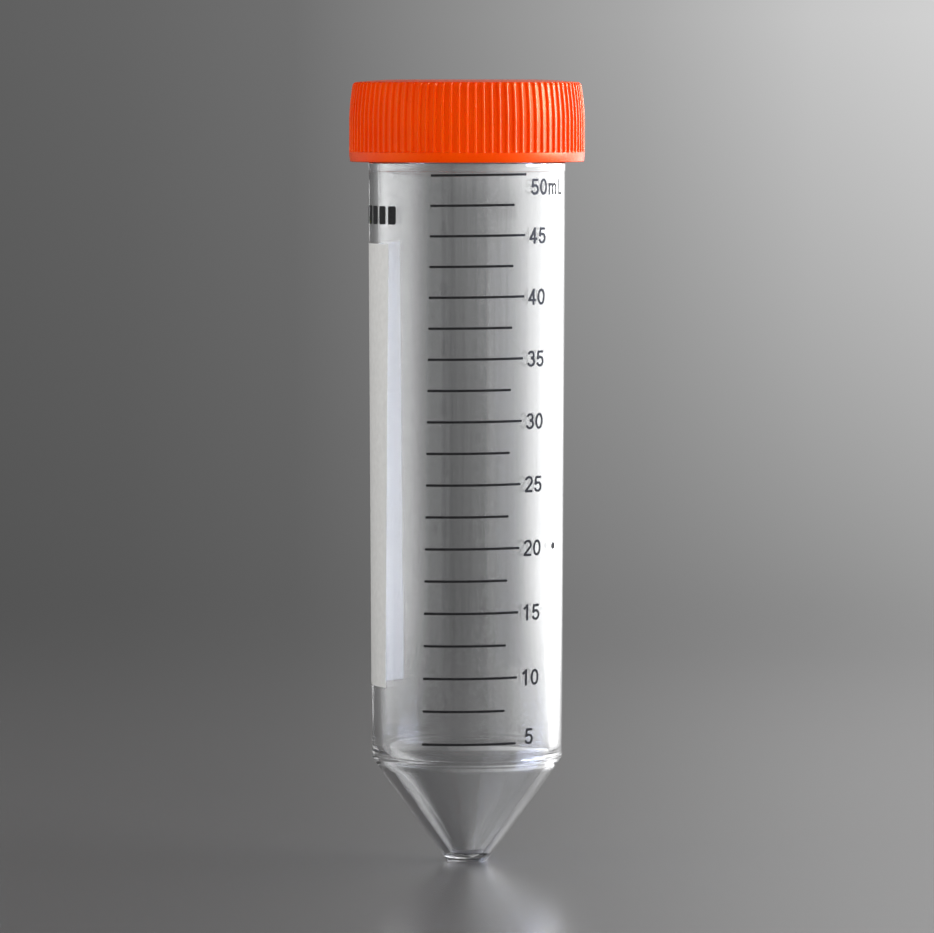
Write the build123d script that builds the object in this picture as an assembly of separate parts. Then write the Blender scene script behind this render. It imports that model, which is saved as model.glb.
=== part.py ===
from build123d import *
import math
import os

# A 50 mL conical centrifuge tube with a ribbed screw cap, in millimetres.
# The origin is the middle of the tip that the tube stands on, and +Z runs up the tube's axis.
# The printed scale faces -Y. Azimuths are in degrees from -Y, positive towards +X.

os.makedirs("parts", exist_ok=True)

# Tube, outside
TUBE_LENGTH = 114.6  # tip to rim
TIP_RADIUS = 3.05
TIP_LIP = 0.2  # height of the short upright edge round the tip
TIP_DIMPLE = 0.25  # depth of the hollow under the tip, which leaves a ring to stand on
SHOULDER_Z = 15.6  # where the cone meets the straight wall
SHOULDER_RADIUS = 14.2
CONE_BULGE = 0.07  # how far the cone's side bows out from a straight line
CONE_ROUND = 0.7  # rounding between the cone and the straight wall
BAND_Z = 95.6  # the wall is drafted up to here and a true cylinder above
BAND_RADIUS = 14.62
COLLAR_Z = 103.25  # the collar under the cap starts with a small step
COLLAR_RADIUS = 14.7
COLLAR_TOP = 104.4
NECK_RADIUS = 14.4
RIM_ROUND = 0.3

# Tube, inside
SCALE_START_Z = 18.68  # height of the 5 mL line
BORE_AT_START = 12.734  # bore radius at the 5 mL line
BORE_DRAFT = 0.00753  # growth of the bore radius per millimetre of height
CONE_WALL = 1.25  # thickness of the cone, square to its side
TIP_FLOOR = 1.3
TIP_WELL_RADIUS = 1.2  # flat bottom of the well inside the tip

# Closure: one-start right-hand thread, 4 mm of lift for each turn
PITCH = 4.0
THREAD_SINK = 0.15  # how far a thread's root sits in its wall
TUBE_THREAD_CREST = 15.3
TUBE_THREAD_WIDTHS = (2.0, 0.9)  # at the root and at the crest
TUBE_THREAD_Z = 107.2  # middle of the thread where it starts
TUBE_THREAD_TURNS = 1.45
CAP_THREAD_CREST = 14.75
CAP_THREAD_WIDTHS = (1.8, 0.8)
CAP_THREAD_DROP = 1.35  # the cap's thread lies this far under the tube's
CAP_THREAD_START = 40.0  # degrees after the start of the tube's thread
CAP_THREAD_TURNS = 1.4

# Screw cap
CAP_BOTTOM = 104.6
CAP_TOP = 116.82
CAP_RADIUS = 17.56  # over the ribs
CAP_FOOT_RADIUS = 17.42
CAP_STRAIGHT_Z = 111.0  # above this the side curves gently inwards
CAP_BROW = (17.04, 116.05)  # radius and height where the top edge starts to round over
CAP_FLAT_RADIUS = 10.0  # the top is flat out to here, and falls away gently beyond
CAP_SHOULDER = (16.3, 116.48)  # radius and height where the crowned top meets its rounded edge
CAP_INSIDE_RADIUS = 15.7
CAP_CEILING = 115.55
CAP_GATE = (1.2, 0.2)  # radius and depth of the moulding mark in the middle of the top
RIB_COUNT = 90
RIB_HEIGHT = 0.35
RIB_WIDTH = 0.52
RIB_BOTTOM = 106.05  # a smooth band runs below this
BEAD_Z = 114.2  # ring inside the cap that holds the plug seal up
BEAD_RADIUS = 15.1
BEAD_HALF_WIDTH = 0.35

# Plug seal
SEAL_BOTTOM = 114.65
SEAL_TOP = 115.5
SEAL_RADIUS = 15.35
PLUG_RADIUS = 13.3
PLUG_LEAD_RADIUS = 12.95  # at its lower end
PLUG_WALL = 0.95
PLUG_DEPTH = 4.05
PLUG_LEAD = 1.2  # length of the tapered lower end

# Print
INK_GAP = 0.01
INK_THICKNESS = 0.04
LINE_WIDTH = 0.36
SCALE_STEP = 2.5  # millilitres between lines
SCALE_FIRST = 5.0
SCALE_LAST = 50.0
PRINT_MIDDLE_Z = 60.9  # azimuths below hold at this height
PRINT_LEAN = 0.077  # degrees of azimuth gained for each millimetre of height
PRINT_RISE = 0.66  # degrees by which the lines rise towards +X
LINE_START = -24.5
LONG_LINE_END = 33.5
SHORT_LINE_END = 25.7
DIGIT_HEIGHT = 2.4
DIGIT_STROKE = 0.15  # share of the digit's height
DIGIT_ADVANCE = 0.775  # share of the digit's height
NUMERALS_MIDDLE = 43.3
FIRST_NUMERAL_LIFT = 1.0  # the 5 stands a little above its line
LAST_NUMERAL_DROP = 1.75  # the 50 hangs below its line
LAST_NUMERAL_SHIFT = 0.5  # degrees
UNIT_ADVANCES = (1.41, 2.49)  # from the middle of the 50 to the m and the L, in digit heights
DOT_RADIUS = 0.55
DOT_PLACE = (62.4, 47.7)  # azimuth and height
PANEL_HEIGHTS = (26.6, 92.5)
PANEL_STARTS = (-131.3, -130.2)  # azimuths of its far edge, at the bottom and the top
PANEL_ENDS = (-58.0, -52.5)
BLOCK_COUNT = 6
BLOCK_SIZE = (1.7, 2.7)
BLOCK_CORNER = 0.25
BLOCK_PITCH = 2.4
BLOCK_START = (-49.4, 96.75)  # azimuth and height of the first block's middle


def wall_radius(z):
    """Outer radius of the tube's straight wall at a height."""
    draft = (BAND_RADIUS - SHOULDER_RADIUS) / (BAND_Z - SHOULDER_Z)
    return min(BAND_RADIUS, SHOULDER_RADIUS + draft * (z - SHOULDER_Z))


def bore_radius(z):
    """Radius of the tube's straight bore at a height."""
    return BORE_AT_START + BORE_DRAFT * (z - SCALE_START_Z)


def height_of_volume(millilitres):
    """Height of the surface for a volume, from what the tapered bore holds above the first line."""
    extra = (millilitres - SCALE_FIRST) * 1000.0
    cubed = BORE_AT_START**3 + 3.0 * BORE_DRAFT * extra / math.pi
    return SCALE_START_Z + (cubed ** (1.0 / 3.0) - BORE_AT_START) / BORE_DRAFT


def turned(*lines):
    """Solid of revolution about Z from the closed outline of a half section, in radius and height."""
    return revolve(Plane.XZ * make_face(Curve() + list(lines)), axis=Axis.Z)


def thread(root_radius, crest_radius, widths, z, azimuth, turns):
    """Trapezoidal thread that winds up from a height and an angle, its root sunk in the wall."""
    root = root_radius - math.copysign(THREAD_SINK, crest_radius - root_radius)
    root_half, crest_half = widths[0] / 2, widths[1] / 2
    outline = [(root, -root_half), (crest_radius, -crest_half), (crest_radius, crest_half), (root, root_half)]
    section = Plane.XZ * Polygon(*outline, align=None)
    ridge = sweep(section, path=Helix(PITCH, PITCH * turns, root_radius), is_frenet=True)
    return Pos(0, 0, z) * Rot(0, 0, azimuth) * ridge


def tube_body():
    """Clear tube: conical tip, drafted wall, collar, and a threaded neck up to the rim."""
    cone_middle = (
        (TIP_RADIUS + SHOULDER_RADIUS) / 2 + CONE_BULGE,
        (TIP_LIP + SHOULDER_Z) / 2 - CONE_BULGE,
    )
    cone_slope = (SHOULDER_RADIUS - TIP_RADIUS) / (SHOULDER_Z - TIP_LIP)
    inset = CONE_WALL * math.hypot(1.0, cone_slope)
    well_z = TIP_FLOOR + 0.4
    well = (TIP_RADIUS - inset + cone_slope * (well_z - TIP_LIP), well_z)
    inner_shoulder_z = SHOULDER_Z + 0.3
    inner_shoulder = (bore_radius(inner_shoulder_z), inner_shoulder_z)
    outside = Polyline(
        (0, TIP_DIMPLE),
        (TIP_RADIUS / 2, TIP_DIMPLE),
        (TIP_RADIUS - 1.0, 0),
        (TIP_RADIUS, 0),
        (TIP_RADIUS, TIP_LIP),
    )
    cone = ThreePointArc((TIP_RADIUS, TIP_LIP), cone_middle, (SHOULDER_RADIUS, SHOULDER_Z))
    wall = Polyline(
        (SHOULDER_RADIUS, SHOULDER_Z),
        (BAND_RADIUS, BAND_Z),
        (BAND_RADIUS, COLLAR_Z),
        (COLLAR_RADIUS, COLLAR_Z),
        (COLLAR_RADIUS, COLLAR_TOP),
        (NECK_RADIUS, COLLAR_TOP + 0.2),
        (NECK_RADIUS, TUBE_LENGTH - RIM_ROUND),
        (NECK_RADIUS - RIM_ROUND, TUBE_LENGTH),
        (bore_radius(TUBE_LENGTH) + RIM_ROUND, TUBE_LENGTH),
        (bore_radius(TUBE_LENGTH - RIM_ROUND), TUBE_LENGTH - RIM_ROUND),
        inner_shoulder,
        well,
        (TIP_WELL_RADIUS, TIP_FLOOR),
        (0, TIP_FLOOR),
        (0, TIP_DIMPLE),
    )
    section = make_face(Curve() + [outside, cone, wall])
    shoulder = section.vertices().sort_by_distance((SHOULDER_RADIUS, SHOULDER_Z))[0]
    section = fillet(shoulder, CONE_ROUND)
    body = revolve(Plane.XZ * section, axis=Axis.Z)
    ridge = thread(NECK_RADIUS, TUBE_THREAD_CREST, TUBE_THREAD_WIDTHS, TUBE_THREAD_Z, 0, TUBE_THREAD_TURNS)
    return body + ridge


def screw_cap():
    """Ribbed cap shell with its inner thread and the bead that holds the plug seal."""
    brow_radius, brow_z = CAP_BROW
    rise = (CAP_STRAIGHT_Z + brow_z) / 2
    side_middle = ((CAP_RADIUS + brow_radius) / 2 + 0.08, rise)
    crown_middle = ((CAP_FLAT_RADIUS + CAP_SHOULDER[0]) / 2, CAP_TOP - 0.09)
    edge_middle = ((CAP_SHOULDER[0] + brow_radius) / 2 + 0.1, (CAP_SHOULDER[1] + brow_z) / 2 + 0.12)
    gate_radius, gate_depth = CAP_GATE
    shell = turned(
        Polyline(
            (0, CAP_TOP - gate_depth),
            (gate_radius, CAP_TOP - gate_depth),
            (gate_radius, CAP_TOP),
            (CAP_FLAT_RADIUS, CAP_TOP),
        ),
        ThreePointArc((CAP_FLAT_RADIUS, CAP_TOP), crown_middle, CAP_SHOULDER),
        ThreePointArc(CAP_SHOULDER, edge_middle, CAP_BROW),
        ThreePointArc(CAP_BROW, side_middle, (CAP_RADIUS, CAP_STRAIGHT_Z)),
        Polyline(
            (CAP_RADIUS, CAP_STRAIGHT_Z),
            (CAP_RADIUS, CAP_BOTTOM + 1.0),
            (CAP_FOOT_RADIUS, CAP_BOTTOM),
            (CAP_INSIDE_RADIUS + 0.4, CAP_BOTTOM),
            (CAP_INSIDE_RADIUS, CAP_BOTTOM + 0.5),
            (CAP_INSIDE_RADIUS, BEAD_Z - BEAD_HALF_WIDTH),
            (BEAD_RADIUS, BEAD_Z),
            (CAP_INSIDE_RADIUS, BEAD_Z + BEAD_HALF_WIDTH),
            (CAP_INSIDE_RADIUS, CAP_CEILING),
            (0, CAP_CEILING),
            (0, CAP_TOP - gate_depth),
        ),
    )
    groove_section = make_face(
        Curve()
        + [
            ThreePointArc(
                (brow_radius - RIB_HEIGHT, brow_z),
                (side_middle[0] - RIB_HEIGHT, rise),
                (CAP_RADIUS - RIB_HEIGHT, CAP_STRAIGHT_Z),
            ),
            Polyline(
                (CAP_RADIUS - RIB_HEIGHT, CAP_STRAIGHT_Z),
                (CAP_RADIUS - RIB_HEIGHT, RIB_BOTTOM),
                (CAP_RADIUS + 1.0, RIB_BOTTOM),
                (CAP_RADIUS + 1.0, brow_z),
                (brow_radius - RIB_HEIGHT, brow_z),
            ),
        ]
    )
    rib_pitch = 360.0 / RIB_COUNT
    groove_angle = rib_pitch - math.degrees(RIB_WIDTH / CAP_RADIUS)
    groove = revolve(Plane.XZ * groove_section, axis=Axis.Z, revolution_arc=groove_angle)
    grooves = [Rot(0, 0, i * rib_pitch - groove_angle / 2) * groove for i in range(RIB_COUNT)]
    start_z = TUBE_THREAD_Z - CAP_THREAD_DROP + PITCH * CAP_THREAD_START / 360.0
    ridge = thread(
        CAP_INSIDE_RADIUS, CAP_THREAD_CREST, CAP_THREAD_WIDTHS, start_z, CAP_THREAD_START, CAP_THREAD_TURNS
    )
    return shell - grooves + ridge


def plug_seal():
    """Soft insert: a flange that lies on the rim, and a hollow plug that fills the mouth."""
    plug_bottom = SEAL_BOTTOM - PLUG_DEPTH
    inner = PLUG_RADIUS - PLUG_WALL
    return turned(
        Polyline(
            (0, SEAL_TOP),
            (SEAL_RADIUS - 0.2, SEAL_TOP),
            (SEAL_RADIUS, SEAL_TOP - 0.2),
            (SEAL_RADIUS, SEAL_BOTTOM),
            (PLUG_RADIUS, SEAL_BOTTOM),
            (PLUG_RADIUS, plug_bottom + PLUG_LEAD),
            (PLUG_LEAD_RADIUS, plug_bottom),
            (inner, plug_bottom),
            (inner, SEAL_BOTTOM - 0.6),
            (inner - 0.6, SEAL_BOTTOM),
            (0, SEAL_BOTTOM),
            (0, SEAL_TOP),
        )
    )


def lean(z):
    """Azimuth that the leaning print has gained at a height."""
    return PRINT_LEAN * (z - PRINT_MIDDLE_Z)


def scale_line(millilitres, end):
    """One line of the scale, which rises a little towards +X."""
    z = height_of_volume(millilitres)
    low, high = z - LINE_WIDTH / 2, z + LINE_WIDTH / 2
    inner = wall_radius(low) + INK_GAP, wall_radius(high) + INK_GAP
    outer = inner[0] + INK_THICKNESS, inner[1] + INK_THICKNESS
    section = Polygon((inner[0], low), (inner[1], high), (outer[1], high), (outer[0], low), align=None)
    band = revolve(Plane.XZ * section, axis=Axis.Z, revolution_arc=end - LINE_START)
    tilt = Pos(0, 0, z) * Rot(0, -PRINT_RISE, 0) * Pos(0, 0, -z)
    return tilt * Rot(0, 0, LINE_START + lean(z) - 90) * band


def strokes(*lines):
    """Flat glyph from the middle lines of its strokes, drawn at a height of one."""
    glyph = Sketch()
    for line in lines:
        glyph += trace(line, DIGIT_STROKE)
    return scale(glyph, by=DIGIT_HEIGHT)


def digit_shapes():
    """The digits that the scale needs, each about its own middle."""
    reach = 0.5 - DIGIT_STROKE / 2
    half_width = 0.33 - DIGIT_STROKE / 2
    return {
        "0": strokes(Ellipse(half_width, reach).edge()),
        "1": strokes(Line((0.06, 0.5), (0.06, -0.5)), Line((0.06, 0.42), (-0.2, 0.22))),
        "2": strokes(
            CenterArc((0, reach - 0.23), 0.245, 165, -205),
            Polyline((0.184, 0.05), (-0.22, -reach + 0.04), (-0.22, -reach), (0.3, -reach)),
        ),
        "3": strokes(
            CenterArc((-0.01, reach - 0.212), 0.212, 165, -255),
            CenterArc((-0.01, -reach + 0.248), 0.248, 90, -255),
        ),
        "4": strokes(
            Line((0.1, 0.5), (0.1, -0.5)),
            Polyline((0.1, 0.42), (-0.26, -0.2), (0.3, -0.2)),
        ),
        "5": strokes(
            Polyline((0.26, reach), (-0.17, reach), (-0.235, -0.03)),
            CenterArc((-0.01, -reach + 0.258), 0.258, 150, -315),
        ),
    }


def unit_shapes():
    """The letters of the unit, each about the middle of a digit's height."""
    arch = 0.2
    arch_z = 0.225 - DIGIT_STROKE / 2 - arch
    small_m = strokes(
        *[Line((x, -0.5), (x, arch_z)) for x in (0, 2 * arch)],
        Line((-2 * arch, -0.5), (-2 * arch, 0.225)),
        *[CenterArc((x, arch_z), arch, 0, 180) for x in (-arch, arch)],
    )
    foot = DIGIT_STROKE / 2 - 0.5
    capital_l = strokes(Polyline((-0.24, 0.5), (-0.24, foot), (0.3, foot)))
    return small_m, capital_l


def ink_skin():
    """The thin layer over the whole straight wall that print is cut from."""
    low, high = SHOULDER_Z + 1.0, COLLAR_Z - 0.05
    heights = [low, BAND_Z, high]
    inside = [(wall_radius(z) + INK_GAP, z) for z in heights]
    outside = [(radius + INK_THICKNESS, z) for radius, z in inside]
    return revolve(Plane.XZ * Polygon(*inside, *reversed(outside), align=None), axis=Axis.Z)


def printed(glyph, azimuth, z, skin, reach=1.0):
    """Project a flat shape onto the wall at an azimuth and a height, from a plane that deep inside it."""
    angle = math.radians(azimuth)
    outward = Vector(math.sin(angle), -math.cos(angle), 0)
    across = Vector(math.cos(angle), math.sin(angle), 0)
    start = outward * (wall_radius(z) - reach) + Vector(0, 0, z)
    return extrude(Plane(origin=start, x_dir=across, z_dir=outward) * glyph, reach + 1.0) & skin


def arc_of(length, z):
    """Azimuth that a length takes up along the wall."""
    return math.degrees(length / wall_radius(z))


def numerals(skin):
    """The number beside every long line."""
    digits = digit_shapes()
    pieces = []
    for value in range(5, 51, 5):
        text = str(value)
        z = height_of_volume(value)
        middle = NUMERALS_MIDDLE + lean(z)
        if value == SCALE_FIRST:
            z += FIRST_NUMERAL_LIFT
        if value == SCALE_LAST:
            z -= LAST_NUMERAL_DROP
            middle += LAST_NUMERAL_SHIFT
        step = arc_of(DIGIT_ADVANCE * DIGIT_HEIGHT, z)
        for i, digit in enumerate(text):
            azimuth = middle + step * (i - (len(text) - 1) / 2)
            pieces.append(printed(digits[digit], azimuth, z, skin))
    return pieces


def unit_mark(skin):
    """The unit after the highest number."""
    z = height_of_volume(SCALE_LAST) - LAST_NUMERAL_DROP
    middle = NUMERALS_MIDDLE + LAST_NUMERAL_SHIFT + lean(z)
    places = [middle + arc_of(advance * DIGIT_HEIGHT, z) for advance in UNIT_ADVANCES]
    return [printed(glyph, azimuth, z, skin) for glyph, azimuth in zip(unit_shapes(), places)]


def writing_panel(skin):
    """The white area to write on, whose near edge leans with the scale."""
    middle = (PANEL_STARTS[0] + PANEL_ENDS[1]) / 2
    middle_z = sum(PANEL_HEIGHTS) / 2
    starts, ends = [
        [
            (wall_radius(z) * math.sin(math.radians(azimuth - middle)), z - middle_z)
            for azimuth, z in zip(azimuths, PANEL_HEIGHTS)
        ]
        for azimuths in (PANEL_STARTS, PANEL_ENDS)
    ]
    return printed(Polygon(*ends, *reversed(starts), align=None), middle, middle_z, skin, SHOULDER_RADIUS / 2)


def plain_blocks(skin):
    """A row of plain blocks above the writing panel."""
    azimuth, z = BLOCK_START
    step = arc_of(BLOCK_PITCH, z)
    block = RectangleRounded(*BLOCK_SIZE, BLOCK_CORNER)
    return [printed(block, azimuth - i * step, z, skin) for i in range(BLOCK_COUNT)]


def save(node, shapes):
    """Write a node's solids to its own file."""
    solids = [solid for shape in shapes for solid in shape.solids()]
    export_step(Compound(children=solids) if len(solids) > 1 else solids[0], f"parts/{node}.step")


volumes = [SCALE_FIRST + i * SCALE_STEP for i in range(int((SCALE_LAST - SCALE_FIRST) / SCALE_STEP) + 1)]
long_lines = [v for v in volumes if v % 5 == 0]
short_lines = [v for v in volumes if v % 5]
skin = ink_skin()

save("tube_body", [tube_body()])
save("screw_cap", [screw_cap()])
save("plug_seal", [plug_seal()])
save("graduation_lines_major", [scale_line(v, LONG_LINE_END) for v in long_lines])
save("graduation_lines_minor", [scale_line(v, SHORT_LINE_END) for v in short_lines])
save("graduation_numerals", numerals(skin))
save("volume_unit_mark", unit_mark(skin))
save("index_dot", [printed(Circle(DOT_RADIUS), *DOT_PLACE, skin)])
save("writing_panel", [writing_panel(skin)])
save("print_blocks", plain_blocks(skin))
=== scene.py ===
"""Looks of a 50 mL conical centrifuge tube with a ribbed orange screw cap.

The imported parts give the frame. Every part is drawn here as its own finer piece, which rides on the part's
body: the tube and its print on "tube", the plug seal on "seal" and the screw cap on "cap".
Shapes are worked out in millimetres and stored in metres. The print's azimuths are in degrees from -Y,
positive towards +X.
"""

import math

import bpy
import numpy as np
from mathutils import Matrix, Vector


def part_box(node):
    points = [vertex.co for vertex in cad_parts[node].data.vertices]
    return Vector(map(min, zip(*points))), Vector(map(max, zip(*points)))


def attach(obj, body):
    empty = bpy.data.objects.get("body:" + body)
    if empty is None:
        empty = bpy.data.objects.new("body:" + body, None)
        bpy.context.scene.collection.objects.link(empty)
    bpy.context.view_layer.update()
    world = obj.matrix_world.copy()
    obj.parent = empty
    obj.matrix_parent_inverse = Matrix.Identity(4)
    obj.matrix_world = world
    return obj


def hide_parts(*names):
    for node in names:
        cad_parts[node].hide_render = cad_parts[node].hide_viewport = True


MM = 0.001

# Tube, outside
TIP_RADIUS = 3.05
TIP_LIP = 0.2
TIP_DIMPLE = 0.25
SHOULDER_Z = 15.6
SHOULDER_RADIUS = 14.2
CONE_BULGE = 0.07
PARTING_Z = 16.1  # a fine raised line round the wall where the mould's parts met
PARTING_HEIGHT = 0.035
PARTING_WIDTH = 0.22
PARTING_CLEAR = 0.15  # plain wall below the line, and a little more above it
BAND_Z = 95.6
BAND_RADIUS = 14.62
COLLAR_Z = 103.25
COLLAR_RADIUS = 14.7
COLLAR_TOP = 104.4
NECK_RADIUS = 14.4

# Tube, inside
SCALE_START_Z = 18.68
BORE_AT_START = 12.734
BORE_DRAFT = 0.00753
CONE_WALL = 1.25
TIP_FLOOR = 1.3
TIP_WELL_RADIUS = 1.2
TIP_WELL_DEPTH = 0.4
INNER_SHOULDER_RISE = 0.3  # how far above the outer shoulder the bore begins
INNER_SHOULDER_ROUND = 6.0

# Threads
PITCH = 4.0
TUBE_THREAD = {"z": 107.2, "start": 0.0, "turns": 1.45, "widths": (2.0, 0.9), "crest": 15.3}
CAP_THREAD = {"z": 106.294, "start": 40.0, "turns": 1.4, "widths": (1.8, 0.8), "crest": 14.75}
THREAD_FADE = 20.0  # degrees over which a thread's ends rise out of the wall

# Screw cap
CAP_FOOT_RADIUS = 17.42
CAP_RADIUS = 17.56
CAP_STRAIGHT_Z = 111.0
CAP_BROW = (17.04, 116.05)
CAP_SHOULDER = (16.3, 116.48)
CAP_FLAT_RADIUS = 10.0
CAP_INSIDE_RADIUS = 15.7
CAP_CEILING = 115.55
CAP_GATE = (1.2, 0.2)
BEAD_Z = 114.2
BEAD_RADIUS = 15.1
BEAD_HALF_HEIGHT = 0.35
RIB_COUNT = 90
RIB_HEIGHT = 0.35
RIB_CREST = 0.12  # half width of a rib's top
RIB_FOOT = 0.33  # half width of a rib at its foot
RIB_CROWN = 0.06  # how far a rib's top is rounded off, as a share of its height
RIB_BOTTOM = 106.05
RIB_TOP = 116.4
RIB_END = 0.3  # height over which the grooves run out at either end

# Plug seal
PLUG_RADIUS = 13.3
PLUG_LEAD_RADIUS = 12.95
PLUG_WALL = 0.95
PLUG_DEPTH = 4.05
PLUG_LEAD = 1.2
FLANGE_THICKNESS = 0.85

# Print
INK_SINK = 0.005  # the ink starts just inside the wall, because it is bonded to it
INK_HEIGHT = 0.05
LINE_WIDTH = 0.36
LINE_ROUND = 0.1
SCALE_STEP = 2.5
SCALE_FIRST = 5.0
SCALE_LAST = 50.0
PRINT_MIDDLE_Z = 60.9
PRINT_LEAN = 0.077
PRINT_RISE = math.radians(0.66)
LINE_START = -24.5
LONG_LINE_END = 33.5
SHORT_LINE_END = 25.7
DIGIT_HEIGHT = 2.4
DIGIT_STROKE = 0.15
DIGIT_ADVANCE = 0.775
NUMERALS_MIDDLE = 43.3
FIRST_NUMERAL_LIFT = 1.0
LAST_NUMERAL_DROP = 1.75
LAST_NUMERAL_SHIFT = 0.5
UNIT_ADVANCES = (1.41, 2.49)
DOT_RADIUS = 0.55
DOT_PLACE = (62.4, 47.7)
PANEL_HEIGHTS = (26.6, 92.5)
PANEL_STARTS = (-131.3, -130.2)
PANEL_ENDS = (-58.0, -52.5)
BLOCK_COUNT = 6
BLOCK_SIZE = (1.7, 2.7)
BLOCK_CORNER = 0.25
BLOCK_PITCH = 2.4
BLOCK_START = (-49.4, 96.75)

# Mesh density
TUBE_COLUMNS = 512
SEAL_COLUMNS = 256
GLYPH_CELL = 0.04
SHARP_ANGLE = math.radians(40)


# ---------------------------------------------------------------- dimensions


def wall_radius(z):
    """Outer radius of the tube's straight wall at a height."""
    draft = (BAND_RADIUS - SHOULDER_RADIUS) / (BAND_Z - SHOULDER_Z)
    return np.minimum(BAND_RADIUS, SHOULDER_RADIUS + draft * (z - SHOULDER_Z))


def bore_radius(z):
    """Radius of the tube's straight bore at a height."""
    return BORE_AT_START + BORE_DRAFT * (z - SCALE_START_Z)


def height_of_volume(millilitres):
    """Height of the surface for a volume, from what the tapered bore holds above the first line."""
    extra = (millilitres - SCALE_FIRST) * 1000.0
    cubed = BORE_AT_START**3 + 3.0 * BORE_DRAFT * extra / math.pi
    return SCALE_START_Z + (cubed ** (1.0 / 3.0) - BORE_AT_START) / BORE_DRAFT


def lean(z):
    """Azimuth that the leaning print has gained at a height."""
    return PRINT_LEAN * (z - PRINT_MIDDLE_Z)


# -------------------------------------------------------------- mesh helpers


def piece(name, points, faces, body, slot, material):
    """A smooth-shaded mesh from points in millimetres, which rides on a body and stands for its part."""
    mesh = bpy.data.meshes.new(name)
    mesh.from_pydata((np.asarray(points) * MM).tolist(), [], faces)
    mesh.validate()
    mesh.shade_smooth()
    mesh.set_sharp_from_angle(angle=SHARP_ANGLE)
    mesh.materials.append(material)
    made = bpy.data.objects.new(name + "_look", mesh)
    bpy.context.scene.collection.objects.link(made)
    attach(made, body)
    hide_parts(name)
    return made


def rounded(corners, steps=6):
    """A path of (radius, height) points from (radius, height, rounding) corners, which become arcs."""
    path = []
    for i, (r, z, rounding) in enumerate(corners):
        here = np.array((r, z), float)
        if rounding == 0 or i in (0, len(corners) - 1):
            path.append(here)
            continue
        before = np.array(corners[i - 1][:2], float) - here
        after = np.array(corners[i + 1][:2], float) - here
        before /= np.linalg.norm(before)
        after /= np.linalg.norm(after)
        half = math.acos(max(-1.0, min(1.0, float(before @ after)))) / 2
        reach = rounding / math.tan(half)
        centre = here + (before + after) / np.linalg.norm(before + after) * rounding / math.sin(half)
        first = here + before * reach - centre
        last = here + after * reach - centre
        for share in np.linspace(0, 1, steps + 1):
            arm = first * (1 - share) + last * share
            path.append(centre + arm / np.linalg.norm(arm) * rounding)
    return np.array(path)


def divided(path, spacing, low=-math.inf, high=math.inf):
    """The path with its runs between two heights cut into pieces no longer than a spacing."""
    out = [path[0]]
    for start, end in zip(path[:-1], path[1:]):
        inside = min(start[1], end[1]) >= low and max(start[1], end[1]) <= high
        count = max(1, math.ceil(np.linalg.norm(end - start) / spacing - 1e-6)) if inside else 1
        out += [start + (end - start) * k / count for k in range(1, count + 1)]
    return np.array(out)


def arc_through(start, end, bulge, steps):
    """Points of a shallow arc from one point to another, which bows to the right of the way."""
    start, end = np.array(start, float), np.array(end, float)
    along = end - start
    right = np.array((along[1], -along[0])) / np.linalg.norm(along)
    shares = np.linspace(0, 1, steps + 1)[:, None]
    return start + along * shares + right * bulge * 4 * shares * (1 - shares)


def spun(path, angles, radius_change=None):
    """Points and faces of a closed solid of revolution.

    The path starts and ends on the axis, and runs up outer walls. radius_change(rows, angles) gives how far
    each row's radius is changed at each angle.
    """
    middle = path[1:-1]
    radii = np.repeat(middle[:, :1], len(angles), axis=1)
    if radius_change is not None:
        radii = radii + radius_change(middle, angles)
    x, y = radii * np.cos(angles), radii * np.sin(angles)
    z = np.repeat(middle[:, 1:], len(angles), axis=1)
    points = np.stack([x, y, z], axis=-1).reshape(-1, 3)
    points = np.vstack([points, (0, 0, path[0][1]), (0, 0, path[-1][1])])
    count, rows = len(angles), len(middle)
    faces = []
    for i in range(rows - 1):
        for j in range(count):
            k = (j + 1) % count
            faces.append((i * count + j, i * count + k, (i + 1) * count + k, (i + 1) * count + j))
    bottom, top = rows * count, rows * count + 1
    for j in range(count):
        k = (j + 1) % count
        faces.append((bottom, k, j))
        faces.append((top, (rows - 1) * count + j, (rows - 1) * count + k))
    return points, faces


def smooth(t):
    """Smooth step from 0 to 1."""
    t = np.clip(t, 0, 1)
    return t * t * (3 - 2 * t)


def ridge(z, angles, thread, root):
    """How far a helical thread stands towards its crest from its root radius, at heights and angles."""
    total = np.zeros((len(z), len(angles)))
    since = np.mod(np.degrees(angles) - thread["start"], 360.0)
    root_half, crest_half = thread["widths"][0] / 2, thread["widths"][1] / 2
    for lap in range(math.ceil(thread["turns"])):
        along = since + 360.0 * lap
        middle = thread["z"] + PITCH * along / 360.0
        fade = smooth(along / THREAD_FADE) * smooth((360.0 * thread["turns"] - along) / THREAD_FADE)
        flank = (root_half - np.abs(z[:, None] - middle[None, :])) / (root_half - crest_half)
        flank = np.clip(flank, 0, 1)
        total = np.maximum(total, (flank + smooth(flank)) / 2 * fade[None, :])
    return total * (thread["crest"] - root)


# ----------------------------------------------------------------- materials


def new_material(name):
    """An empty node material with its Principled shader."""
    made = bpy.data.materials.new(name)
    made.use_nodes = True
    nodes, links = made.node_tree.nodes, made.node_tree.links
    return made, nodes, links, nodes["Principled BSDF"]


def noise(nodes, links, scale, detail=3.0, stretch=(1, 1, 1)):
    """Noise fixed to the object, with features about 1 / scale metres across."""
    place = nodes.new("ShaderNodeTexCoord")
    mapping = nodes.new("ShaderNodeMapping")
    mapping.inputs["Scale"].default_value = stretch
    texture = nodes.new("ShaderNodeTexNoise")
    texture.inputs["Scale"].default_value = scale
    texture.inputs["Detail"].default_value = detail
    links.new(place.outputs["Object"], mapping.inputs["Vector"])
    links.new(mapping.outputs["Vector"], texture.inputs["Vector"])
    return texture.outputs["Fac"]


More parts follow.
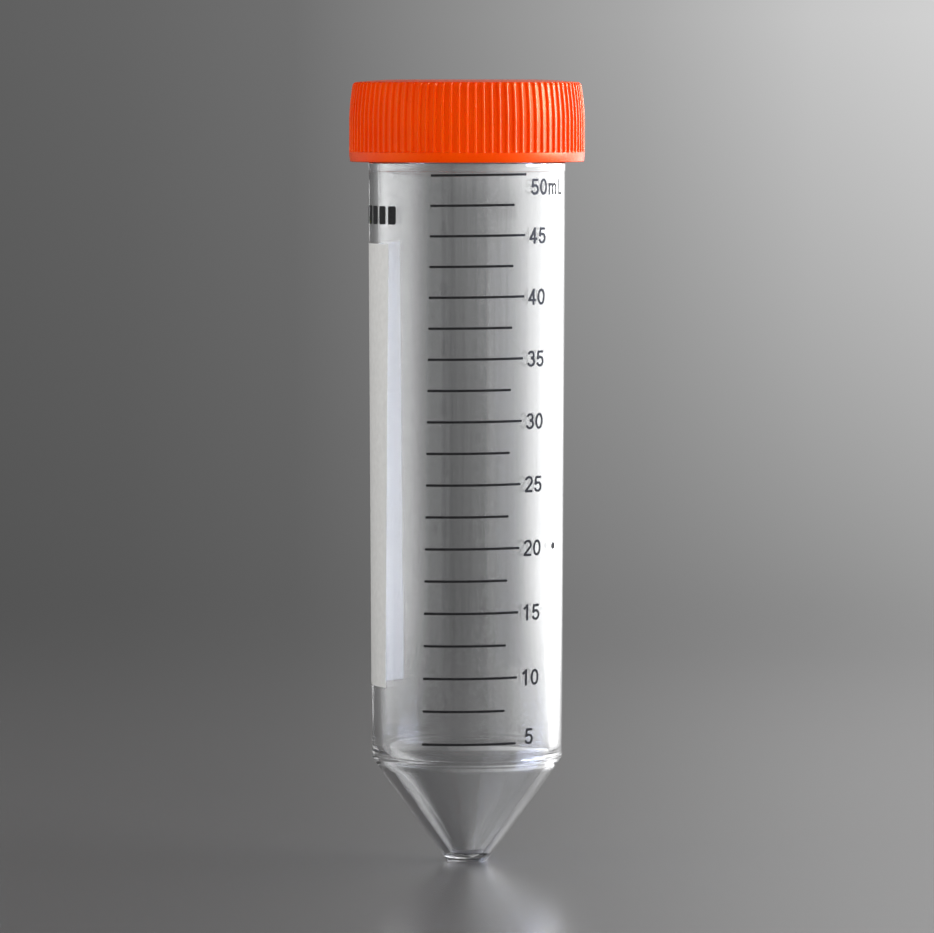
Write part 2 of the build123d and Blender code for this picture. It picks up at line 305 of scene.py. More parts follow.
def math_node(nodes, links, operation, *values):
    """A Math node with values or other nodes' outputs as its inputs."""
    made = nodes.new("ShaderNodeMath")
    made.operation = operation
    for socket, value in zip(made.inputs, values):
        if isinstance(value, (int, float)):
            socket.default_value = value
        else:
            links.new(value, socket)
    return made.outputs["Value"]


def spread(nodes, links, value, low, high):
    """Maps noise from its usual 0.3 to 0.7 onto a range."""
    ranged = nodes.new("ShaderNodeMapRange")
    ranged.inputs["From Min"].default_value = 0.3
    ranged.inputs["From Max"].default_value = 0.7
    ranged.inputs["To Min"].default_value = low
    ranged.inputs["To Max"].default_value = high
    links.new(value, ranged.inputs["Value"])
    return ranged.outputs["Result"]


def two_tones(nodes, links, value, one, other):
    """A colour between two, by a value from 0 to 1."""
    mix = nodes.new("ShaderNodeMix")
    mix.data_type = "RGBA"
    mix.inputs["A"].default_value = (*one, 1)
    mix.inputs["B"].default_value = (*other, 1)
    links.new(value, mix.inputs["Factor"])
    return mix.outputs["Result"]


def bump(nodes, links, shader, height, strength, distance):
    """Fine relief from a height value."""
    made = nodes.new("ShaderNodeBump")
    made.inputs["Strength"].default_value = strength
    made.inputs["Distance"].default_value = distance
    links.new(height, made.inputs["Height"])
    links.new(made.outputs["Normal"], shader.inputs["Normal"])


def clear_plastic():
    """Water-clear moulded plastic with the faint waviness and lengthwise streaks of its mould."""
    made, nodes, links, shader = new_material("clear_plastic")
    shader.inputs["Base Color"].default_value = (0.9, 0.905, 0.91, 1)
    shader.inputs["Transmission Weight"].default_value = 1.0
    shader.inputs["IOR"].default_value = 1.57
    grain = noise(nodes, links, 900, 2)
    links.new(spread(nodes, links, grain, 0.02, 0.05), shader.inputs["Roughness"])
    wave = noise(nodes, links, 60, 2, (1, 1, 0.35))
    streaks = noise(nodes, links, 420, 3, (1, 1, 0.03))
    relief = math_node(nodes, links, "MULTIPLY_ADD", streaks, 0.35, wave)
    bump(nodes, links, shader, relief, 0.05, 0.001)
    return made


def orange_plastic():
    """Moulded orange plastic, a little translucent, with a fine satin grain."""
    made, nodes, links, shader = new_material("orange_plastic")
    tone = spread(nodes, links, noise(nodes, links, 140), 0, 1)
    colour = two_tones(nodes, links, tone, (0.88, 0.056, 0.0), (0.94, 0.072, 0.0))
    links.new(colour, shader.inputs["Base Color"])
    shader.inputs["Subsurface Weight"].default_value = 0.35
    shader.inputs["Subsurface Radius"].default_value = (1.0, 0.12, 0.02)
    shader.inputs["Subsurface Scale"].default_value = 0.0012
    shader.inputs["IOR"].default_value = 1.5
    shader.inputs["Specular IOR Level"].default_value = 0.3
    shader.inputs["Specular Tint"].default_value = (1.0, 0.62, 0.15, 1)
    grain = noise(nodes, links, 2500, 4)
    links.new(spread(nodes, links, grain, 0.26, 0.38), shader.inputs["Roughness"])
    bump(nodes, links, shader, grain, 0.12, 0.0001)
    return made


def seal_plastic():
    """Soft natural-white plastic."""
    made, nodes, links, shader = new_material("seal_plastic")
    tone = spread(nodes, links, noise(nodes, links, 200), 0, 1)
    colour = two_tones(nodes, links, tone, (0.78, 0.77, 0.72), (0.86, 0.85, 0.81))
    links.new(colour, shader.inputs["Base Color"])
    shader.inputs["Subsurface Weight"].default_value = 0.4
    shader.inputs["Subsurface Radius"].default_value = (1.0, 0.9, 0.7)
    shader.inputs["Subsurface Scale"].default_value = 0.0015
    grain = noise(nodes, links, 1800)
    links.new(spread(nodes, links, grain, 0.35, 0.5), shader.inputs["Roughness"])
    bump(nodes, links, shader, grain, 0.1, 0.0001)
    return made


def ink(name, one, other, roughness, grain_size):
    """Screen-printed ink, a little uneven in tone and surface."""
    made, nodes, links, shader = new_material(name)
    grain = noise(nodes, links, 1 / grain_size, 5)
    colour = two_tones(nodes, links, spread(nodes, links, grain, 0, 1), one, other)
    links.new(colour, shader.inputs["Base Color"])
    links.new(spread(nodes, links, grain, roughness - 0.08, roughness + 0.08), shader.inputs["Roughness"])
    shader.inputs["Specular IOR Level"].default_value = 0.05
    bump(nodes, links, shader, grain, 0.25, 0.00004)
    return made


# --------------------------------------------------------------- tube and cap


def tube_section():
    """Half section of the tube, from the middle of the tip up the outside and down the inside."""
    slope = (SHOULDER_RADIUS - TIP_RADIUS) / (SHOULDER_Z - TIP_LIP)
    inset = CONE_WALL * math.hypot(1.0, slope)
    well_z = TIP_FLOOR + TIP_WELL_DEPTH
    well_radius = TIP_RADIUS - inset + slope * (well_z - TIP_LIP)
    inner_shoulder_z = SHOULDER_Z + INNER_SHOULDER_RISE
    below_seam_z = PARTING_Z - PARTING_CLEAR
    above_seam_z = PARTING_Z + 0.2
    foot = rounded(
        [
            (0, TIP_DIMPLE, 0),
            (TIP_RADIUS / 2, TIP_DIMPLE, 0.4),
            (TIP_RADIUS - 0.8, 0, 0.5),
            (TIP_RADIUS, 0, 0.12),
            (TIP_RADIUS, TIP_LIP, 0),
        ]
    )
    cone_end = (SHOULDER_RADIUS, SHOULDER_Z)
    cone = arc_through((TIP_RADIUS, TIP_LIP), cone_end, CONE_BULGE * math.sqrt(2), 24)
    shoulder = rounded([(*cone[-2], 0), (*cone[-1], 0.5), (wall_radius(below_seam_z), below_seam_z, 0)])
    shares = np.linspace(-1, 1, 9)
    heights = PARTING_Z + shares * PARTING_WIDTH / 2
    seam_height = PARTING_HEIGHT * np.cos(shares * math.pi / 2) ** 2
    seam = np.stack([wall_radius(heights) + seam_height, heights], axis=1)
    wall = rounded(
        [
            (wall_radius(above_seam_z), above_seam_z, 0),
            (BAND_RADIUS, BAND_Z, 0),
            (BAND_RADIUS, COLLAR_Z, 0.03),
            (COLLAR_RADIUS, COLLAR_Z, 0.03),
            (COLLAR_RADIUS, COLLAR_TOP, 0.1),
            (NECK_RADIUS, COLLAR_TOP + 0.2, 0.1),
            (NECK_RADIUS, TUBE_TOP, 0.3),
            (bore_radius(TUBE_TOP), TUBE_TOP, 0.3),
            (bore_radius(inner_shoulder_z), inner_shoulder_z, INNER_SHOULDER_ROUND),
            (well_radius, well_z, 0.5),
            (TIP_WELL_RADIUS, TIP_FLOOR, 0.3),
            (0, TIP_FLOOR, 0),
        ],
        steps=8,
    )
    wall = divided(wall, 4.0)
    wall = divided(wall, 0.1, COLLAR_TOP + 0.3, TUBE_TOP - 0.25)
    return np.vstack([foot, cone[1:-2], shoulder[1:], seam, wall])


def tube_relief(rows, angles):
    """The thread on the tube's neck."""
    outer = (np.abs(rows[:, 0] - NECK_RADIUS) < 0.01) & (rows[:, 1] > COLLAR_TOP)
    return ridge(rows[:, 1], angles, TUBE_THREAD, NECK_RADIUS) * outer[:, None]


def make_tube(material):
    """Clear tube with its conical tip, collar and threaded neck."""
    angles = np.linspace(0, 2 * math.pi, TUBE_COLUMNS, endpoint=False)
    points, faces = spun(tube_section(), angles, tube_relief)
    return piece("tube_body", points, faces, "tube", "clear_plastic", material)


def cap_section():
    """Half section of the cap over its ribs, from the ceiling's middle down the inside and up the outside."""
    inside = rounded(
        [
            (0, CAP_CEILING, 0),
            (CAP_INSIDE_RADIUS, CAP_CEILING, 0.3),
            (CAP_INSIDE_RADIUS, BEAD_Z + BEAD_HALF_HEIGHT, 0.1),
            (BEAD_RADIUS, BEAD_Z, 0.2),
            (CAP_INSIDE_RADIUS, BEAD_Z - BEAD_HALF_HEIGHT, 0.1),
            (CAP_INSIDE_RADIUS, CAP_BOTTOM + 0.5, 0.2),
            (CAP_INSIDE_RADIUS + 0.4, CAP_BOTTOM, 0.15),
            (CAP_FOOT_RADIUS, CAP_BOTTOM, 0.2),
            (CAP_RADIUS, CAP_BOTTOM + 1.0, 0),
        ]
    )
    inside = divided(inside, 0.14, CAP_BOTTOM + 0.6, BEAD_Z - 0.3)
    rib_feet = np.linspace(RIB_BOTTOM - 0.05, RIB_BOTTOM + RIB_END + 0.05, 10)
    straight = np.array([(CAP_RADIUS, z) for z in (*rib_feet, 107, 108, 109, 110, CAP_STRAIGHT_Z)])
    side = arc_through((CAP_RADIUS, CAP_STRAIGHT_Z), CAP_BROW, 0.09, 10)
    edge = arc_through(CAP_BROW, CAP_SHOULDER, 0.13, 10)
    crown = arc_through(CAP_SHOULDER, (CAP_FLAT_RADIUS, CAP_TOP), 0.07, 10)
    gate_radius, gate_depth = CAP_GATE
    middle = rounded(
        [
            (CAP_FLAT_RADIUS, CAP_TOP, 0),
            (gate_radius + 0.1, CAP_TOP, 0.08),
            (gate_radius, CAP_TOP - gate_depth, 0.08),
            (0, CAP_TOP - gate_depth, 0),
        ]
    )
    return np.vstack([inside, straight, side[1:], edge[1:], crown[1:], middle[1:]])


def rib_angles():
    """Angles round the cap, closest together on the flanks of its ribs."""
    pitch = 2 * math.pi / RIB_COUNT
    half_width = math.pi * CAP_RADIUS / RIB_COUNT
    crest, foot = RIB_CREST / half_width, RIB_FOOT / half_width
    flank = crest + (foot - crest) * np.array([0, 0.25, 0.5, 0.75, 1])
    half = np.concatenate([[0], flank])
    shares = np.concatenate([-half[:0:-1], half, [1]])
    return np.concatenate([(i + 0.5 + shares / 2) * pitch for i in range(RIB_COUNT)])


def cap_relief(rows, angles):
    """Grooves between the ribs outside, and the thread inside."""
    pitch = 2 * math.pi / RIB_COUNT
    off_rib = np.abs(np.mod(angles, pitch) / pitch - 0.5) * pitch * CAP_RADIUS
    flank = np.clip((off_rib - RIB_CREST) / (RIB_FOOT - RIB_CREST), 0, 1)
    groove = 0.5 - 0.5 * np.cos(math.pi * flank)
    groove = groove + RIB_CROWN * np.minimum(off_rib / RIB_CREST, 1) ** 2 * (1 - flank)
    r, z = rows[:, 0], rows[:, 1]
    ends = np.clip(np.minimum(z - RIB_BOTTOM, RIB_TOP - z) / RIB_END, 0, 1)
    depth = np.sqrt(1 - (1 - ends) ** 2) * (r > CAP_INSIDE_RADIUS + 0.3)
    thread_rows = (np.abs(r - CAP_INSIDE_RADIUS) < 0.01) & (z < BEAD_Z - 0.4)
    inner = ridge(z, angles, CAP_THREAD, CAP_INSIDE_RADIUS) * thread_rows[:, None]
    return inner - RIB_HEIGHT * depth[:, None] * groove[None, :]


def make_cap(material):
    """Ribbed screw cap."""
    points, faces = spun(cap_section(), rib_angles(), cap_relief)
    return piece("screw_cap", points, faces, "cap", "orange_plastic", material)


def make_seal(material):
    """Soft plug that fills the mouth, with the flange that lies on the rim."""
    plug_bottom = SEAL_TOP - FLANGE_THICKNESS - PLUG_DEPTH
    flange_z = SEAL_TOP - FLANGE_THICKNESS
    inner = PLUG_RADIUS - PLUG_WALL
    path = rounded(
        [
            (0, flange_z, 0),
            (inner, flange_z, 0.6),
            (inner, plug_bottom, 0.25),
            (PLUG_LEAD_RADIUS, plug_bottom, 0.25),
            (PLUG_RADIUS, plug_bottom + PLUG_LEAD, 0.6),
            (PLUG_RADIUS, flange_z, 0.08),
            (SEAL_RADIUS, flange_z, 0.1),
            (SEAL_RADIUS, SEAL_TOP, 0.2),
            (0, SEAL_TOP, 0),
        ]
    )
    angles = np.linspace(0, 2 * math.pi, SEAL_COLUMNS, endpoint=False)
    points, faces = spun(path, angles)
    return piece("plug_seal", points, faces, "seal", "seal_plastic", material)


# --------------------------------------------------------------------- print


def on_wall(azimuth, z, height):
    """Points at azimuths in degrees and heights, standing off the wall."""
    angle = np.radians(azimuth)
    radius = wall_radius(z) + height
    return np.stack([radius * np.sin(angle), -radius * np.cos(angle), z + 0 * angle], axis=-1)


def wrapped(x, y, azimuth, z):
    """Azimuths and heights on the wall of a flat shape's points, which lean and rise as the print does."""
    heights = z + y
    azimuths = azimuth + np.degrees(x / wall_radius(heights)) + PRINT_LEAN * y
    rise = np.sin(np.radians(azimuths)) - np.sin(math.radians(azimuth))
    return azimuths, heights + math.tan(PRINT_RISE) * wall_radius(heights) * rise


def solid_from(azimuths, heights, faces):
    """Closed thin solid of ink over flat faces, which run anticlockwise seen from outside."""
    outer = on_wall(azimuths, heights, INK_HEIGHT)
    inner = on_wall(azimuths, heights, -INK_SINK)
    count = len(azimuths)
    edges = {}
    for face in faces:
        for a, b in zip(face, face[1:] + face[:1]):
            edges[(a, b)] = True
    rims = [(a, b) for a, b in edges if (b, a) not in edges]
    backs = [tuple(count + v for v in reversed(face)) for face in faces]
    sides = [(b, a, count + a, count + b) for a, b in rims]
    return np.vstack([outer, inner]), list(faces) + backs + sides


def filled(distance, width, height, cell=GLYPH_CELL):
    """Points and faces of the flat shape where a signed distance is negative, cut from a grid."""
    columns, rows = math.ceil(width / cell) + 3, math.ceil(height / cell) + 3
    x = (np.arange(columns) - (columns - 1) / 2) * cell
    y = (np.arange(rows) - (rows - 1) / 2) * cell
    values = distance(*np.meshgrid(x, y, indexing="ij"))
    values[np.abs(values) < 1e-6] = 1e-6
    points, known, faces = [], {}, []

    def point(key, place):
        if key not in known:
            known[key] = len(points)
            points.append(place)
        return known[key]

    for i, j in np.argwhere(
        (values[:-1, :-1] < 0) | (values[1:, :-1] < 0) | (values[:-1, 1:] < 0) | (values[1:, 1:] < 0)
    ):
        corners = [(i, j), (i + 1, j), (i + 1, j + 1), (i, j + 1)]
        face = []
        for a, b in zip(corners, corners[1:] + corners[:1]):
            value_a, value_b = values[a], values[b]
            if value_a < 0:
                face.append(point(tuple(a), (x[a[0]], y[a[1]])))
            if (value_a < 0) != (value_b < 0):
                share = value_a / (value_a - value_b)
                place = (x[a[0]] + (x[b[0]] - x[a[0]]) * share, y[a[1]] + (y[b[1]] - y[a[1]]) * share)
                face.append(point(tuple(sorted((tuple(a), tuple(b)))), place))
        faces.append(tuple(face))
    return np.array(points), faces


def joined(solids):
    """One set of points and faces from several."""
    points, faces, count = [], [], 0
    for more_points, more_faces in solids:
        points.append(more_points)
        faces += [tuple(v + count for v in face) for face in more_faces]
        count += len(more_points)
    return np.vstack(points), faces


def arc(centre, radius, start, sweep, steps=28):
    """Points of an arc, with its start and its sweep in degrees."""
    radii = radius if isinstance(radius, tuple) else (radius, radius)
    turns = np.radians(np.linspace(start, start + sweep, steps + 1))
    return [(centre[0] + radii[0] * math.cos(t), centre[1] + radii[1] * math.sin(t)) for t in turns]


def stroked(lines):
    """Signed distance to strokes about middle lines, with flat ends and round joints, at a height of one."""
    half = DIGIT_STROKE / 2

    def distance(x, y):
        nearest = np.full(x.shape, np.inf)
        for line in lines:
            line = np.array(line, float)
            off = np.full(x.shape, np.inf)
            for start, end in zip(line[:-1], line[1:]):
                along = end - start
                share = ((x - start[0]) * along[0] + (y - start[1]) * along[1]) / (along @ along)
                share = np.clip(share, 0, 1)
                gap_x, gap_y = x - start[0] - share * along[0], y - start[1] - share * along[1]
                off = np.minimum(off, np.hypot(gap_x, gap_y))
            off = off - half
            if np.linalg.norm(line[0] - line[-1]) > 1e-6:
                for tip, back in ((line[0], line[1]), (line[-1], line[-2])):
                    out = (tip - back) / np.linalg.norm(tip - back)
                    beyond = (x - tip[0]) * out[0] + (y - tip[1]) * out[1]
                    near = np.hypot(x - tip[0], y - tip[1]) < 1.5 * half
                    off = np.where(near, np.maximum(off, beyond), off)
            nearest = np.minimum(nearest, off)
        return nearest

    return distance


def glyph_lines():
    """Middle lines of the strokes of each digit and letter, at a digit height of one."""
    reach = 0.5 - DIGIT_STROKE / 2
    half_width = 0.33 - DIGIT_STROKE / 2
    hump = 0.2
    hump_y = 0.225 - DIGIT_STROKE / 2 - hump
    return {
        "0": [arc((0, 0), (half_width, reach), 0, 360, 48)],
        "1": [[(0.06, 0.5), (0.06, -0.5)], [(0.06, 0.42), (-0.2, 0.22)]],
        "2": [
            arc((0, reach - 0.23), 0.245, 165, -205)
            + [(0.184, 0.05), (-0.22, -reach + 0.04), (-0.22, -reach), (0.3, -reach)]
        ],
        "3": [
            arc((-0.01, reach - 0.212), 0.212, 165, -255),
            arc((-0.01, -reach + 0.248), 0.248, 90, -255),
        ],
        "4": [[(0.1, 0.5), (0.1, -0.5)], [(0.1, 0.42), (-0.26, -0.2), (0.3, -0.2)]],
        "5": [
            [(0.26, reach), (-0.17, reach), (-0.235, -0.03)],
            arc((-0.01, -reach + 0.258), 0.258, 150, -315),
        ],
        "m": [
            [(-2 * hump, -0.5), (-2 * hump, 0.225)],
            [(0, -0.5)] + arc((-hump, hump_y), hump, 0, 180, 16),
            [(2 * hump, -0.5)] + arc((hump, hump_y), hump, 0, 180, 16),
        ],
        "L": [[(-0.24, 0.5), (-0.24, -reach), (0.3, -reach)]],
    }


def printed(glyph, azimuth, z):
    """Solid of a digit or letter, printed at an azimuth and a height."""
    distance = stroked(GLYPHS[glyph])
    size = DIGIT_HEIGHT
    points, faces = filled(lambda x, y: distance(x / size, y / size) * size, 1.2 * size, 1.1 * size)
    return solid_from(*wrapped(points[:, 0], points[:, 1], azimuth, z), faces)


def scale_line(millilitres, end):
    """One line of the scale, with slightly rounded ends."""
    z = height_of_volume(millilitres)
    radius = float(wall_radius(z))
    start, end = math.radians(LINE_START + lean(z)), math.radians(end + lean(z))
    half_length = radius * (end - start) / 2
    corner = LINE_ROUND * np.array([0, 0.13, 0.5, 1])
    inner = np.linspace(-half_length + 0.3, half_length - 0.3, 48)
    x = np.concatenate([-half_length + corner, inner, half_length - corner[::-1]])
    from_end = half_length - np.abs(x)
    inset = LINE_ROUND - np.sqrt(np.maximum(LINE_ROUND**2 - (LINE_ROUND - from_end) ** 2, 0))
    inset = np.where(from_end < LINE_ROUND, inset, 0)
    half_width = LINE_WIDTH / 2 - inset
    low, high = np.stack([x, -half_width], 1), np.stack([x, half_width], 1)
    points = np.vstack([low, high])
    count = len(x)
    faces = [(i, i + 1, count + i + 1, count + i) for i in range(count - 1)]
    middle = math.degrees((start + end) / 2)
    azimuths = middle + np.degrees(points[:, 0] / radius)
    heights = z + points[:, 1] + math.tan(PRINT_RISE) * radius * np.sin(np.radians(azimuths))
    return solid_from(azimuths, heights, faces)


def numerals():
    """The number beside every long line, with its middle and height."""
    solids = []
    for value in range(5, 51, 5):
        text = str(value)
        z = height_of_volume(value)
        middle = NUMERALS_MIDDLE + lean(z)
        if value == SCALE_FIRST:
            z += FIRST_NUMERAL_LIFT
        if value == SCALE_LAST:
            z -= LAST_NUMERAL_DROP
            middle += LAST_NUMERAL_SHIFT
        step = math.degrees(DIGIT_ADVANCE * DIGIT_HEIGHT / wall_radius(z))
        first = middle - step * (len(text) - 1) / 2
        solids += [printed(digit, first + step * i, z) for i, digit in enumerate(text)]
    return joined(solids)


def unit_mark():
    """The unit after the highest number."""
    z = height_of_volume(SCALE_LAST) - LAST_NUMERAL_DROP
    middle = NUMERALS_MIDDLE + LAST_NUMERAL_SHIFT + lean(z)
    steps = [math.degrees(advance * DIGIT_HEIGHT / wall_radius(z)) for advance in UNIT_ADVANCES]
    return joined([printed(letter, middle + step, z) for letter, step in zip("mL", steps)])


def block(azimuth, z):
    """One plain block with rounded corners."""
    half = np.array(BLOCK_SIZE) / 2 - BLOCK_CORNER

    def distance(x, y):
        beyond_x, beyond_y = np.abs(x) - half[0], np.abs(y) - half[1]
        outside = np.hypot(np.maximum(beyond_x, 0), np.maximum(beyond_y, 0))
        return outside + np.minimum(np.maximum(beyond_x, beyond_y), 0) - BLOCK_CORNER

    points, faces = filled(distance, *BLOCK_SIZE, 0.06)
    return solid_from(*wrapped(points[:, 0], points[:, 1], azimuth, z), faces)


def dot():
    """The round dot beside the scale."""
    points, faces = filled(lambda x, y: np.hypot(x, y) - DOT_RADIUS, 2 * DOT_RADIUS, 2 * DOT_RADIUS)
    azimuth, z = DOT_PLACE
    return solid_from(*wrapped(points[:, 0], points[:, 1], azimuth, z), faces)


def panel(columns=160, rows=40):
    """The white area to write on, whose near edge leans with the scale."""
    across, up = np.meshgrid(np.linspace(0, 1, columns + 1), np.linspace(0, 1, rows + 1))
    starts = PANEL_STARTS[0] + (PANEL_STARTS[1] - PANEL_STARTS[0]) * up
    ends = PANEL_ENDS[0] + (PANEL_ENDS[1] - PANEL_ENDS[0]) * up
    azimuths = (starts + (ends - starts) * across).ravel()
    heights = (PANEL_HEIGHTS[0] + (PANEL_HEIGHTS[1] - PANEL_HEIGHTS[0]) * up).ravel()
    width = columns + 1
    faces = [
        (j * width + i, j * width + i + 1, (j + 1) * width + i + 1, (j + 1) * width + i)
        for j in range(rows)
        for i in range(columns)
    ]
    return solid_from(azimuths, heights, faces)


def make_print(black, white):
    """Every printed piece on the wall."""
    volumes = np.arange(SCALE_FIRST, SCALE_LAST + 0.1, SCALE_STEP)
    long_lines = [scale_line(v, LONG_LINE_END) for v in volumes if v % 5 == 0]
    short_lines = [scale_line(v, SHORT_LINE_END) for v in volumes if v % 5]
    azimuth, z = BLOCK_START
    step = math.degrees(BLOCK_PITCH / wall_radius(z))
    blocks = [block(azimuth - i * step, z) for i in range(BLOCK_COUNT)]
    piece("graduation_lines_major", *joined(long_lines), "tube", "black_ink", black)
    piece("graduation_lines_minor", *joined(short_lines), "tube", "black_ink", black)
    piece("graduation_numerals", *numerals(), "tube", "black_ink", black)
    piece("volume_unit_mark", *unit_mark(), "tube", "black_ink", black)
    piece("index_dot", *dot(), "tube", "black_ink", black)
    piece("print_blocks", *joined(blocks), "tube", "black_ink", black)
    piece("writing_panel", *panel(), "tube", "white_ink", white)


# --------------------------------------------------------------------- stage

CAMERA_PLACE = (0, -1.05, 0.1155)
CAMERA_AIM = (0, 0, 0.0591)
CAMERA_LENS = 271.3

# Light that reaches the tube from round about it: (degrees from +Y towards +X, level)
LIGHT_PEAK = 5.0
WALLS = [
    (-150.5, 0.1),
    (-149.5, 0.45),
    (-135, 0.5),
    (-121, 1.1),
    (-108, 1.8),
    (-92, 1.5),
    (-74, 0.9),
    (-53, 0.6),
    (-36, 0.2),
    (-11, 0.09),
    (-3.6, 0.083),
    (-1.4, 0.11),
    (1.1, 0.18),
    (3.6, 0.26),
    (11, 0.7),
    (34, 4.0),
    (54, 4.5),
    (83, 4.0),
    (99, 2.9),
    (114, 1.7),
    (128, 0.75),
    (155.5, 0.45),
    (156.5, 0.1),
]
# The backdrop is lighter higher up: (degrees from +Y towards +X, level), and the elevations it grows between
GLOW = [(-11, 0), (-3.6, 0.03), (-1.4, 0.05), (1.1, 0.18), (3.6, 0.4), (11, 0)]
BACKDROP_GLOW = (math.radians(-4.6), math.radians(0.55))
# Elevations between which the walls give way to the ceiling
WALLS_END = (math.radians(15), math.radians(45))
CEILING = 0.2

FLOOR_RADIUS = 0.6
FLOOR_CLEAR = 0.12  # the floor is whole out to here, and fades into the backdrop beyond
FLOOR_COLUMNS = 96


def make_camera():
    """Long lens at the height of the cap, aimed at the middle of the tube."""
    data = bpy.data.cameras.new("camera")
    data.lens = CAMERA_LENS
    data.sensor_width = 36.0
    data.clip_start = 0.01
    data.clip_end = 20.0
    camera = bpy.data.objects.new("camera", data)
    bpy.context.scene.collection.objects.link(camera)
    camera.location = CAMERA_PLACE
    camera.rotation_euler = (Vector(CAMERA_AIM) - Vector(CAMERA_PLACE)).to_track_quat("-Z", "Y").to_euler()
    bpy.context.scene.camera = camera


def softbox(name, place, aim, size, radiance, colour=(1, 1, 1), diffuse=True, gloss=True):
    """Rectangular light that the camera doesn't see."""
    data = bpy.data.lights.new(name, "AREA")
    data.shape = "RECTANGLE"
    data.size, data.size_y = size
    data.energy = radiance * math.pi * size[0] * size[1]
    data.color = colour
    light = bpy.data.objects.new(name, data)
    bpy.context.scene.collection.objects.link(light)
    light.location = place
    light.rotation_euler = (Vector(aim) - Vector(place)).to_track_quat("-Z", "Y").to_euler()
    light.visible_camera = False
    light.visible_diffuse = diffuse
    light.visible_glossy = gloss
    light.visible_transmission = False
    return light


def ramp(nodes, links, value, stops):
    """Levels along a direction from 0 to 1, from (degrees round from +Y towards +X, level) stops."""
    made = nodes.new("ShaderNodeValToRGB")
    made.color_ramp.interpolation = "LINEAR"
    elements = made.color_ramp.elements
    while len(elements) < len(stops):
        elements.new(1.0)
    for element, (degrees, level) in zip(elements, stops):
        share = level / LIGHT_PEAK
        element.position = degrees / 360 + 0.5
        element.color = (share, share, share, 1)
    links.new(value, made.inputs["Fac"])
    return made.outputs["Color"]


def make_world():
    """Studio walls round the tube: a strong light at the right, a weaker one at the left, grey elsewhere."""
    world = bpy.data.worlds.new("studio")
    world.use_nodes = True
    bpy.context.scene.world = world
    nodes, links = world.node_tree.nodes, world.node_tree.links
    place = nodes.new("ShaderNodeTexCoord")
    split = nodes.new("ShaderNodeSeparateXYZ")
    links.new(place.outputs["Generated"], split.inputs["Vector"])
    x, y, z = split.outputs
    azimuth = math_node(nodes, links, "ARCTAN2", x, y)
    across = math_node(nodes, links, "MULTIPLY_ADD", azimuth, 1 / (2 * math.pi), 0.5)
    elevation = math_node(nodes, links, "ARCSINE", z)
    lift = nodes.new("ShaderNodeMapRange")
    lift.inputs["From Min"].default_value, lift.inputs["From Max"].default_value = BACKDROP_GLOW
    links.new(elevation, lift.inputs["Value"])
    high = nodes.new("ShaderNodeMapRange")
    high.interpolation_type = "SMOOTHSTEP"
    high.inputs["From Min"].default_value, high.inputs["From Max"].default_value = WALLS_END
    links.new(elevation, high.inputs["Value"])
    walls = ramp(nodes, links, across, WALLS)
    glow = math_node(nodes, links, "MULTIPLY", ramp(nodes, links, across, GLOW), lift.outputs["Result"])
    level = math_node(nodes, links, "ADD", walls, glow)
    mix = nodes.new("ShaderNodeMix")
    mix.inputs["B"].default_value = CEILING / LIGHT_PEAK
    links.new(high.outputs["Result"], mix.inputs["Factor"])
    links.new(level, mix.inputs["A"])
    background = nodes["Background"]
    links.new(mix.outputs["Result"], background.inputs["Color"])
    background.inputs["Strength"].default_value = LIGHT_PEAK


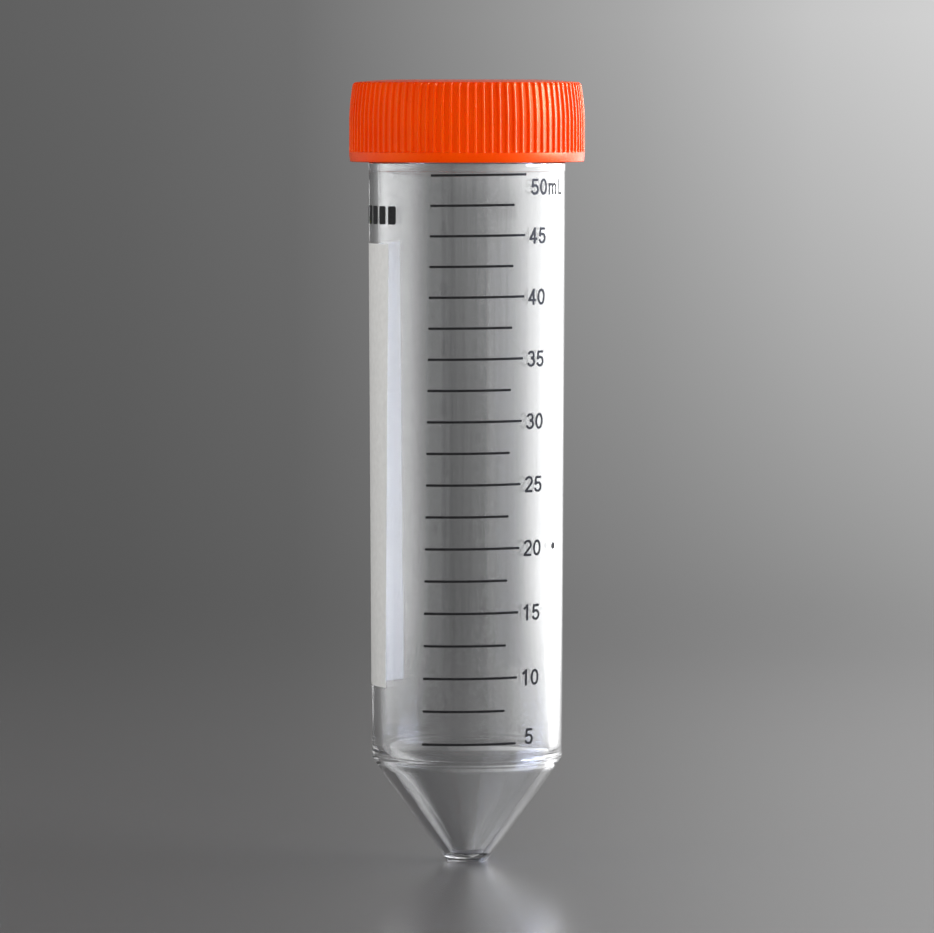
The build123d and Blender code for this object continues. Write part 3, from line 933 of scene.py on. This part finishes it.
def make_floor():
    """Grey, slightly glossy table that fades into the backdrop away from the tube."""
    count = FLOOR_COLUMNS
    path = np.linspace(0, 1, 25)[1:] ** 2 * FLOOR_RADIUS
    turns = np.linspace(0, 2 * math.pi, count, endpoint=False)
    points = [(0, 0, 0)] + [(r * math.cos(t), r * math.sin(t), 0) for r in path for t in turns]
    faces = [(0, 1 + j, 1 + (j + 1) % count) for j in range(count)]
    for i in range(len(path) - 1):
        base = 1 + i * count
        for j in range(count):
            k = (j + 1) % count
            faces.append((base + j, base + count + j, base + count + k, base + k))
    mesh = bpy.data.meshes.new("floor")
    mesh.from_pydata(points, [], faces)
    floor = bpy.data.objects.new("floor", mesh)
    bpy.context.scene.collection.objects.link(floor)
    made, nodes, links, shader = new_material("floor")
    shader.inputs["Base Color"].default_value = (0.16, 0.155, 0.155, 1)
    shader.inputs["Roughness"].default_value = 0.22
    shader.inputs["Specular IOR Level"].default_value = 0.5
    position = nodes.new("ShaderNodeNewGeometry")
    length = nodes.new("ShaderNodeVectorMath")
    length.operation = "LENGTH"
    links.new(position.outputs["Position"], length.inputs[0])
    fade = nodes.new("ShaderNodeMapRange")
    fade.interpolation_type = "SMOOTHSTEP"
    fade.inputs["From Min"].default_value = FLOOR_CLEAR
    fade.inputs["From Max"].default_value = FLOOR_RADIUS * 0.98
    links.new(length.outputs["Value"], fade.inputs["Value"])
    clear = nodes.new("ShaderNodeBsdfTransparent")
    mix = nodes.new("ShaderNodeMixShader")
    links.new(fade.outputs["Result"], mix.inputs["Fac"])
    links.new(shader.outputs["BSDF"], mix.inputs[1])
    links.new(clear.outputs["BSDF"], mix.inputs[2])
    links.new(mix.outputs["Shader"], nodes["Material Output"].inputs["Surface"])
    mesh.materials.append(made)


def make_lights():
    """A cool light beside the cap that only shows as gloss on its ribs, and fills without reflections."""
    cool = (0.85, 0.95, 1.3)
    softbox("rib_gloss", (0.5, 0.02, 0.26), (0, 0.02, 0.26), (0.36, 0.31), 40.0, cool, diffuse=False)
    softbox("right_fill", (0.5, -0.15, 0.15), (0, 0, 0.1), (0.5, 0.5), 1.6, gloss=False)
    softbox("left_fill", (-0.5, -0.3, 0.12), (0, 0, 0.07), (0.4, 0.4), 0.7, gloss=False)
    softbox("front_fill", (0.1, -1.3, 0.25), (0, 0, 0.06), (1.0, 0.8), 3.0, gloss=False)


# ---------------------------------------------------------------------- main

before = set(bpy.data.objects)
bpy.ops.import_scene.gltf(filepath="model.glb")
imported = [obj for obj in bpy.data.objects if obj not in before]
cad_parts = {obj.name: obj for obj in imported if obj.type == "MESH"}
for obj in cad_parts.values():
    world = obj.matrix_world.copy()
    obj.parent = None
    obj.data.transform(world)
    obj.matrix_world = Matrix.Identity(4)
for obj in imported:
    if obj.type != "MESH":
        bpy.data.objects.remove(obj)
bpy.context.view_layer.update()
TUBE_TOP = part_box("tube_body")[1].z / MM
CAP_BOTTOM, CAP_TOP = (corner.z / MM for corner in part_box("screw_cap"))
SEAL_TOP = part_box("plug_seal")[1].z / MM
SEAL_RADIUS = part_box("plug_seal")[1].x / MM
GLYPHS = glyph_lines()

make_tube(clear_plastic())
make_cap(orange_plastic())
make_seal(seal_plastic())
make_print(
    ink("black_ink", (0.012, 0.012, 0.013), (0.03, 0.03, 0.032), 0.42, 0.0004),
    ink("white_ink", (0.76, 0.755, 0.735), (0.83, 0.825, 0.805), 0.6, 0.0009),
)
make_world()
make_floor()
make_lights()
make_camera()

scene = bpy.context.scene
scene.view_settings.view_transform = "Standard"
scene.cycles.max_bounces = 24
scene.cycles.transmission_bounces = 20
scene.cycles.glossy_bounces = 12
scene.cycles.transparent_max_bounces = 16
scene.cycles.use_denoising = True
